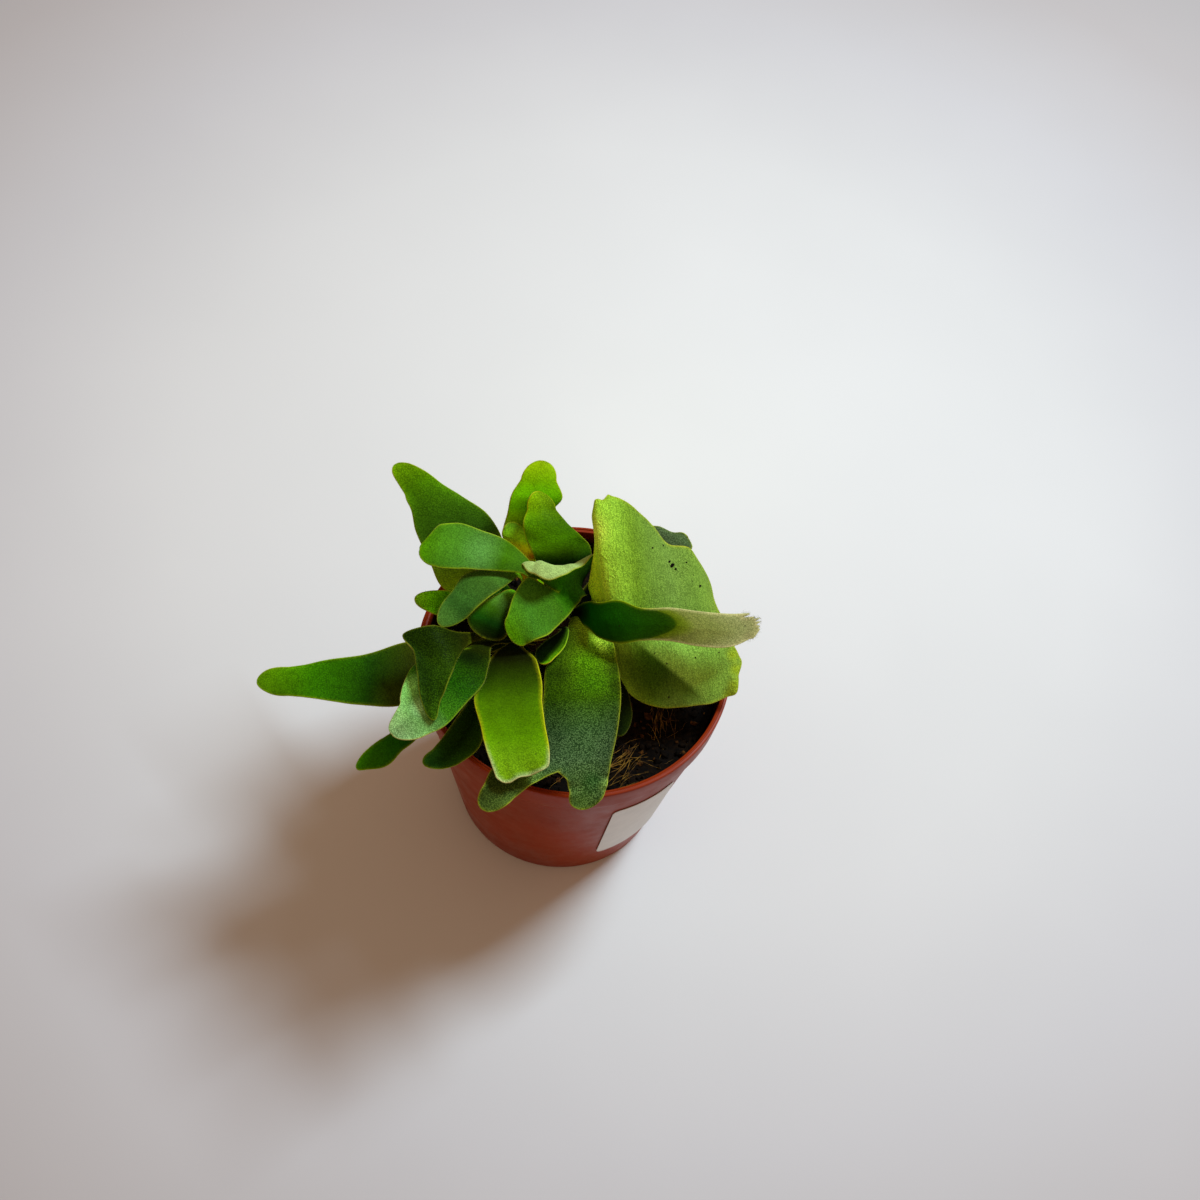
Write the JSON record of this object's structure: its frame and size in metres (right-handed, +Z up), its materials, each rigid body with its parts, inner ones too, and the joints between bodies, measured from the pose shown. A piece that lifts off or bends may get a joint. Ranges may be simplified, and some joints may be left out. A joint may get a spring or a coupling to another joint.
{
  "type": "potted staghorn fern",
  "caption": "Young staghorn fern with strap-like, forked and shield-shaped felted fronds growing from a scaly crown in a small tapered plastic nursery pot.",
  "frame": {"origin": "centre of the flat underside of the pot", "axes": "+Z up along the pot's axis, -Y towards the front of the plant, where the long forked frond hangs over the rim, +X towards the shield frond"},
  "size_m": [0.1358, 0.1099, 0.1162],
  "materials": {
    "frond_dark": "satin, finely felted",
    "frond_mid": "satin, finely felted",
    "frond_bright": "satin",
    "frond_pale": "matt, thinly felted",
    "frond_felt": "matt felt of fine hairs",
    "shield_green": "satin, finely felted",
    "pot_plastic": "moulded, semi-matt",
    "label_paper": "plain",
    "peat": "crumbly, matt",
    "rhizome": "scaly, matt",
    "coir": "fibrous, matt"
  },
  "bodies": {
    "root": {"pot": "pot_plastic", "pot_label": "label_paper", "potting_mix": "peat", "crown": "rhizome", "coir_tangle_front": "coir", "coir_tangle_right": "coir", "frond_far_left": "frond_mid", "frond_left_dark": "frond_dark", "frond_left_pale": "frond_pale", "frond_front_bright": "frond_bright", "frond_front_forked": "frond_mid", "frond_front_sliver": "frond_bright", "frond_centre_forked": "frond_bright", "frond_left_upper": "frond_bright", "frond_left_ovate": "frond_dark", "frond_left_small": "frond_bright", "frond_under_centre": "frond_dark", "frond_back_left": "frond_mid", "frond_back_bright": "frond_bright", "frond_yellowed": "frond_bright", "frond_back_centre": "frond_bright", "frond_right_felted": "frond_felt", "shield_frond": "shield_green", "frond_back_right": "frond_mid", "frond_low_left": "frond_dark", "frond_low_front": "frond_dark", "frond_low_right": "frond_dark"}
  },
  "joints": []
}
